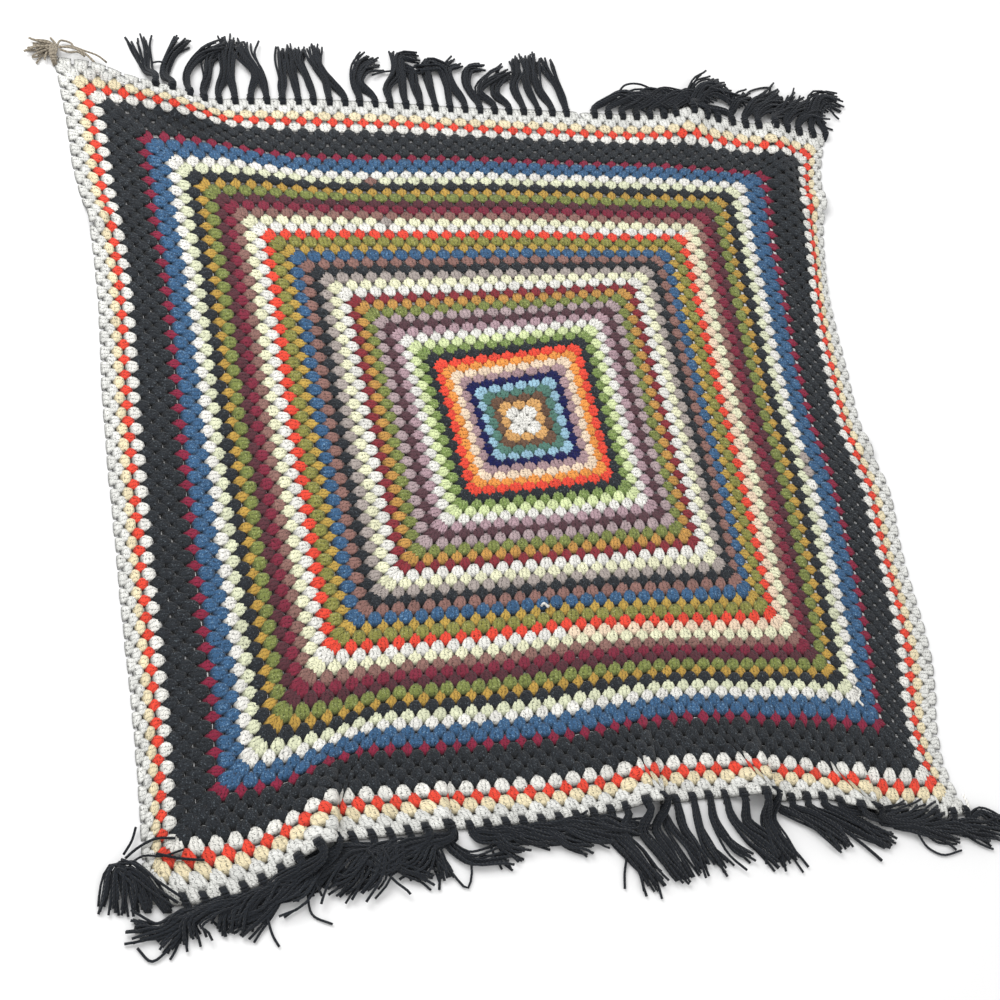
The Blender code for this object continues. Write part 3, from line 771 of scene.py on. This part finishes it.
# Single strands of the bleached corner tassel that fall apart from it, some of them back over the edge.
FADED_STRAYS = (
    (
        (-0.658, 0.680, 0.014), (-0.639, 0.687, 0.010), (-0.617, 0.677, 0.012),
        (-0.597, 0.668, 0.012), (-0.584, 0.657, 0.010),
    ),
    ((-0.658, 0.682, 0.014), (-0.634, 0.680, 0.014), (-0.616, 0.668, 0.015), (-0.603, 0.652, 0.014)),
    ((-0.656, 0.676, 0.015), (-0.641, 0.670, 0.016), (-0.628, 0.672, 0.015), (-0.618, 0.664, 0.015)),
    ((-0.660, 0.684, 0.013), (-0.652, 0.700, 0.007), (-0.637, 0.696, 0.006), (-0.634, 0.684, 0.010)),
    ((-0.662, 0.684, 0.010), (-0.672, 0.699, 0.005), (-0.690, 0.703, 0.003)),
    ((-0.662, 0.680, 0.010), (-0.676, 0.692, 0.006), (-0.696, 0.696, 0.003)),
    ((-0.664, 0.676, 0.010), (-0.680, 0.671, 0.005), (-0.699, 0.668, 0.003)),
    ((-0.662, 0.678, 0.010), (-0.678, 0.678, 0.008), (-0.690, 0.672, 0.004)),
    ((-0.660, 0.686, 0.010), (-0.663, 0.699, 0.005), (-0.668, 0.708, 0.003)),
)
# Single strands that have strayed from the other tassels, each through its own spots, by side.
STRAYS = {
    "far": (
        ((-0.512, 0.660, 0.010), (-0.500, 0.664, 0.008), (-0.490, 0.660, 0.010)),
        ((0.500, 0.635, 0.004), (0.525, 0.620, 0.006), (0.532, 0.598, 0.008)),
        ((0.525, 0.620, 0.010), (0.545, 0.645, 0.004), (0.590, 0.655, 0.003), (0.575, 0.630, 0.008)),
        ((0.285, 0.625, 0.014), (0.300, 0.642, 0.014), (0.330, 0.648, 0.012), (0.360, 0.635, 0.010)),
        ((-0.150, 0.650, 0.010), (-0.130, 0.660, 0.006), (-0.108, 0.662, 0.008)),
        ((0.476, 0.650, 0.016), (0.492, 0.640, 0.014), (0.500, 0.614, 0.010)),
        ((0.460, 0.640, 0.020), (0.486, 0.634, 0.016), (0.494, 0.608, 0.012)),
        ((0.470, 0.652, 0.018), (0.496, 0.648, 0.012), (0.508, 0.622, 0.008)),
        ((0.690, 0.612, 0.010), (0.706, 0.618, 0.006), (0.722, 0.618, 0.004)),
        ((0.680, 0.622, 0.012), (0.700, 0.636, 0.008), (0.712, 0.646, 0.004)),
    ),
    "near": (
        ((-0.600, -0.688, 0.012), (-0.630, -0.664, 0.016), (-0.655, -0.640, 0.018), (-0.676, -0.630, 0.014)),
        ((-0.606, -0.692, 0.012), (-0.636, -0.668, 0.018), (-0.660, -0.646, 0.018), (-0.682, -0.638, 0.012)),
        ((-0.594, -0.682, 0.012), (-0.624, -0.658, 0.018), (-0.648, -0.636, 0.020), (-0.668, -0.624, 0.016)),
        ((-0.660, -0.640, 0.018), (-0.652, -0.664, 0.016), (-0.656, -0.690, 0.004)),
        ((-0.650, -0.638, 0.018), (-0.642, -0.662, 0.016), (-0.646, -0.690, 0.004)),
        ((-0.642, -0.640, 0.016), (-0.634, -0.664, 0.016), (-0.634, -0.690, 0.006)),
        ((-0.668, -0.640, 0.016), (-0.664, -0.664, 0.014), (-0.672, -0.694, 0.003)),
        ((-0.676, -0.644, 0.014), (-0.676, -0.664, 0.012), (-0.680, -0.690, 0.003)),
        ((-0.662, -0.622, 0.010), (-0.645, -0.610, 0.010), (-0.620, -0.600, 0.009), (-0.595, -0.602, 0.009)),
        ((-0.622, -0.620, 0.010), (-0.590, -0.630, 0.010), (-0.560, -0.635, 0.009)),
        ((-0.664, -0.617, 0.010), (-0.652, -0.600, 0.010), (-0.645, -0.582, 0.009)),
        ((-0.656, -0.630, 0.014), (-0.640, -0.622, 0.012), (-0.614, -0.624, 0.009), (-0.586, -0.618, 0.009)),
        ((-0.600, -0.720, 0.010), (-0.615, -0.742, 0.005), (-0.640, -0.757, 0.003), (-0.656, -0.738, 0.003)),
        ((-0.565, -0.705, 0.010), (-0.550, -0.722, 0.004), (-0.535, -0.728, 0.003)),
        ((-0.487, -0.715, 0.010), (-0.480, -0.745, 0.003), (-0.474, -0.758, 0.003)),
        ((-0.430, -0.690, 0.010), (-0.425, -0.722, 0.003), (-0.400, -0.737, 0.003)),
        ((-0.245, -0.640, 0.010), (-0.243, -0.680, 0.003), (-0.248, -0.708, 0.003)),
        (
            (-0.240, -0.650, 0.010), (-0.225, -0.690, 0.004), (-0.208, -0.710, 0.003),
            (-0.199, -0.690, 0.004), (-0.200, -0.660, 0.008),
        ),
        ((-0.170, -0.670, 0.008), (-0.155, -0.680, 0.005), (-0.140, -0.693, 0.003)),
        ((-0.165, -0.630, 0.010), (-0.155, -0.660, 0.006), (-0.142, -0.690, 0.003)),
        ((-0.170, -0.632, 0.010), (-0.166, -0.660, 0.006), (-0.155, -0.690, 0.003)),
        ((0.030, -0.690, 0.006), (0.022, -0.715, 0.003), (0.018, -0.736, 0.003)),
        ((0.050, -0.710, 0.006), (0.046, -0.730, 0.003), (0.048, -0.750, 0.003)),
        ((0.060, -0.715, 0.006), (0.068, -0.735, 0.003), (0.070, -0.756, 0.003)),
        ((0.135, -0.700, 0.006), (0.144, -0.716, 0.003), (0.148, -0.732, 0.003)),
        ((0.160, -0.700, 0.006), (0.168, -0.716, 0.003), (0.176, -0.736, 0.003)),
        ((0.280, -0.700, 0.006), (0.296, -0.720, 0.003), (0.305, -0.736, 0.003)),
        ((0.276, -0.705, 0.006), (0.286, -0.724, 0.003), (0.295, -0.743, 0.003)),
        ((0.490, -0.705, 0.010), (0.505, -0.728, 0.003), (0.525, -0.741, 0.003), (0.560, -0.738, 0.003)),
        ((0.500, -0.706, 0.010), (0.522, -0.722, 0.004), (0.555, -0.728, 0.003)),
    ),
}


def smooth_run(spots, count):
    """A smooth run of points through a few spots."""
    spots = np.array(spots, float)
    gone = np.concatenate([[0], np.cumsum(np.linalg.norm(np.diff(spots, axis=0), axis=1))])
    return np.stack([curve(gone, spots[:, k], np.linspace(0, gone[-1], count)) for k in range(3)], -1)


def bundle(spots, parting):
    """Strands that lie together along a run of spots and part towards their tips."""
    guide = smooth_run(spots, STRAND_POINTS)
    run = np.gradient(guide[:, :2], axis=0)
    run /= np.maximum(np.hypot(run[:, 0], run[:, 1]), TINY)[:, None]
    aside = np.stack([-run[:, 1], run[:, 0]], -1)
    s = np.linspace(0, 1, STRAND_POINTS)
    girth = BUNDLE_RADIUS * (0.55 + 0.45 * np.minimum(4 * s, 1) + 0.5 * s**2)
    twist = rng.uniform(-1.6, 1.6)
    made = []
    for k in range(STRANDS):
        reach = np.sqrt((k + 0.5) / STRANDS)
        angle = 2.4 * k + twist * s + rng.normal(0, 0.25)
        wave = 0.0024 * s * np.sin(rng.uniform(5, 11) * s + rng.uniform(0, 6))
        sideways = np.cos(angle) * reach * girth + rng.normal(0, 1.25 * parting) * s**2.2 + wave
        onward = rng.normal(0, 0.5 * parting + 0.003) * s**3
        path = np.column_stack([
            guide[:, :2] + aside * sideways[:, None] + run * onward[:, None],
            guide[:, 2] + np.sin(angle) * reach * girth * 0.6,
        ])
        path[:, 2] = np.maximum(path[:, 2], LOWEST)
        made.append(path)
    return made


def laid_loose(spots):
    """The centre line of one loose strand through its spots, kept above the ground."""
    run = smooth_run(spots, STRAND_POINTS)
    return np.column_stack([run[:, :2] + middle[:2], np.maximum(run[:, 2], LOWEST)])


def gap_place(side, gap):
    """Where a gap is along its edge, and the sign of the edge, in flat coordinates."""
    return (gap - MIDDLE_GAP) * GAP_PITCH, 1 if side == "far" else -1


def leaves_knot(side, gap):
    """The spots where a tassel leaves its knot."""
    u, outward = gap_place(side, gap)
    return [place(u, outward * r, h) for r, h in KNOT_EXIT]


def tassels_of(side):
    """Centre lines of every free strand of one fringe, and how many at the start are bleached."""
    rows = FAR_TASSELS if side == "far" else NEAR_TASSELS
    made = [laid_loose(spots) for spots in FADED_STRAYS] if side == "far" else []
    bleached = len(made) + STRANDS if side == "far" else 0
    for first, last, spots, parting in rows:
        for gap in range(first, last + 1):
            start = leaves_knot(side, gap)
            aside = (gap - (first + last) / 2) * TASSEL_SPACING
            aims = [np.array(spot) + [middle[0] + aside, middle[1], 0] for spot in spots]
            made += bundle(start + aims, parting)
    for swept_side, first, last, steps, parting in SWEPT_TASSELS:
        for gap in range(first, last + 1) if swept_side == side else ():
            start = leaves_knot(side, gap)
            root = start[0] * [1, 1, 0]
            stray = rng.normal(0, 0.004, 2)
            aims = [root + step + [stray[0] * k, stray[1] * k, 0] for k, step in enumerate(steps)]
            made += bundle(start + aims, parting)
    made += [laid_loose(spots) for spots in STRAYS[side]]
    return np.array(made), bleached


def knots_of(side):
    """Centre lines of the strands over the edge at each gap, and of the loop drawn tight across them."""
    made = []
    for gap in range(GAPS):
        if side == "far" and gap in BARE:
            continue
        u, outward = gap_place(side, gap)
        u = u + rng.normal(0, 0.04)
        for spot in STRANDS_OVER:
            made.append([place(u + spot, outward * r, h) for r, h in OVER_EDGE])
        for r in TURNS_AT:
            made.append([place(u + a, outward * (r + rng.normal(0, 0.03)), h) for a, h in TURN_ARCH])
    return np.array(made)


def tube_mesh(name, paths, yarns):
    """Joins tubes that all have one number of points into a mesh. paths holds strand, point and xyz."""
    count, length = paths.shape[:2]
    run = np.gradient(paths, axis=1)
    run /= np.maximum(np.linalg.norm(run, axis=2, keepdims=True), TINY)
    side = np.cross(run, (0, 0, 1.0))
    side /= np.maximum(np.linalg.norm(side, axis=2, keepdims=True), TINY)
    up = np.cross(side, run)
    turn = np.linspace(0, 2 * np.pi, STRAND_SIDES, endpoint=False)
    ring = side[:, :, None] * np.cos(turn)[:, None] + up[:, :, None] * np.sin(turn)[:, None]
    radii = STRAND_RADIUS * rng.normal(1, 0.06, count)
    points = paths[:, :, None] + ring * radii[:, None, None, None]
    faces = []
    each = length * STRAND_SIDES
    for base in range(0, count * each, each):
        for i in range(base, base + each - STRAND_SIDES, STRAND_SIDES):
            for j in range(STRAND_SIDES):
                a, b = i + j, i + (j + 1) % STRAND_SIDES
                faces.append((a, b, b + STRAND_SIDES, a + STRAND_SIDES))
        faces.append(tuple(base + j for j in reversed(range(STRAND_SIDES))))
        faces.append(tuple(base + each - STRAND_SIDES + j for j in range(STRAND_SIDES)))
    gone = np.cumsum(np.linalg.norm(np.diff(paths, axis=1, prepend=paths[:, :1]), axis=2), axis=1)
    uv = np.stack(np.broadcast_arrays(turn / (2 * np.pi), gone[:, :, None] / TWIST_LENGTH), -1)
    shade = rng.normal(1, 0.08, count)[:, None]
    layers = {
        "yarn": np.repeat(np.array([linear(yarn[0]) for yarn in yarns]) * shade, each, axis=0),
        "fleck": np.repeat(np.array([linear(yarn[1]) for yarn in yarns]) * shade, each, axis=0),
        "tweed": np.repeat(np.array([yarn[2] for yarn in yarns]), each),
        "painted_shading": np.ones(count * each),
    }
    return make_mesh(name, points.reshape(-1, 3), faces, layers, fringe_material, uv.reshape(-1, 2))


# The fringe yarn gets painted shade between its plies and no other painted shade.
fringe_material = yarn_material("fringe_yarn", ply_group, relief=0.0008, groove_shade=0.4)
for side in ("far", "near"):
    paths, bleached = tassels_of(side)
    yarns = [BLEACHED] * bleached + [CHARCOAL] * (len(paths) - bleached)
    knots = knots_of(side)
    faded = len(STRANDS_OVER) + len(TURNS_AT) if bleached else 0
    knot_yarns = [BLEACHED] * faded + [CHARCOAL] * (len(knots) - faded)
    tassels = tube_mesh("tassels_" + side, paths, yarns)
    for piece in (tassels, tube_mesh("knots_" + side, knots, knot_yarns)):
        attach(piece, "root")
        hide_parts("fringe_" + side)

# Short ends of white yarn left long where a round was finished, as spots from the middle of the square.
YARN_ENDS = (
    ((0.584, -0.655, 0.009), (0.588, -0.676, 0.008), (0.580, -0.698, 0.004), (0.567, -0.715, 0.002)),
    ((0.448, -0.472, 0.008), (0.456, -0.482, 0.010), (0.450, -0.494, 0.009), (0.456, -0.505, 0.009)),
    ((-0.028, -0.309, 0.006), (-0.024, -0.306, 0.010), (-0.019, -0.312, 0.010), (-0.016, -0.309, 0.006)),
)
ends = np.array([smooth_run(spots, STRAND_POINTS) + [middle[0], middle[1], 0] for spots in YARN_ENDS])
yarn_ends = tube_mesh("yarn_ends", ends, [YARNS["white"]] * len(ends))
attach(yarn_ends, "root")
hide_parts("blanket")


# --- Studio ---
# A plain pale floor under soft, even light from a large overhead lamp and a bright room.

FLOOR_SIZE = 12
FLOOR_HEIGHT = -0.0004
LAMP_PLACE = Vector((-1.6, 1.4, 2.6))
bpy.ops.mesh.primitive_plane_add(size=FLOOR_SIZE, location=(0, 0, FLOOR_HEIGHT))
floor = bpy.context.object
floor.name = "floor"
floor_material = bpy.data.materials.new("pale_floor")
floor_material.use_nodes = True
floor_shader = floor_material.node_tree.nodes["Principled BSDF"]
floor_shader.inputs["Base Color"].default_value = (0.88, 0.88, 0.88, 1)
floor_shader.inputs["Roughness"].default_value = 0.9
floor.data.materials.append(floor_material)

world = bpy.data.worlds.new("studio")
bpy.context.scene.world = world
world.use_nodes = True
world.node_tree.nodes["Background"].inputs["Color"].default_value = (1, 1, 1, 1)
world.node_tree.nodes["Background"].inputs["Strength"].default_value = 0.88
lamp = bpy.data.lights.new("overhead", "AREA")
lamp.shape = "DISK"
lamp.size = 2.2
lamp.energy = 70
lamp_object = bpy.data.objects.new("overhead", lamp)
lamp_object.location = LAMP_PLACE
lamp_object.rotation_euler = LAMP_PLACE.to_track_quat("Z", "Y").to_euler()
bpy.context.scene.collection.objects.link(lamp_object)
bpy.context.scene.view_settings.view_transform = "Standard"


# --- Camera ---
# It looks down across the near left corner, rolled about its own axis.

AZIMUTH, ELEVATION, ROLL = np.radians((38.8, 60.3, 32.4))
DISTANCE = 2.697
AIM = Vector((-0.0593 + middle[0], -0.1311 + middle[1], 0))
back = Vector((
    -np.sin(AZIMUTH) * np.cos(ELEVATION),
    -np.cos(AZIMUTH) * np.cos(ELEVATION),
    np.sin(ELEVATION),
))
level = (-back).cross(Vector((0, 0, 1))).normalized()
upright = level.cross(-back)
right = level * np.cos(ROLL) + upright * np.sin(ROLL)
top = upright * np.cos(ROLL) - level * np.sin(ROLL)
camera_data = bpy.data.cameras.new("camera")
camera_data.lens = 63.9
camera_data.sensor_width = 36
camera = bpy.data.objects.new("camera", camera_data)
turned = Matrix((right, top, back)).transposed().to_4x4()
camera.matrix_world = Matrix.Translation(AIM + back * DISTANCE) @ turned
bpy.context.scene.collection.objects.link(camera)
bpy.context.scene.camera = camera
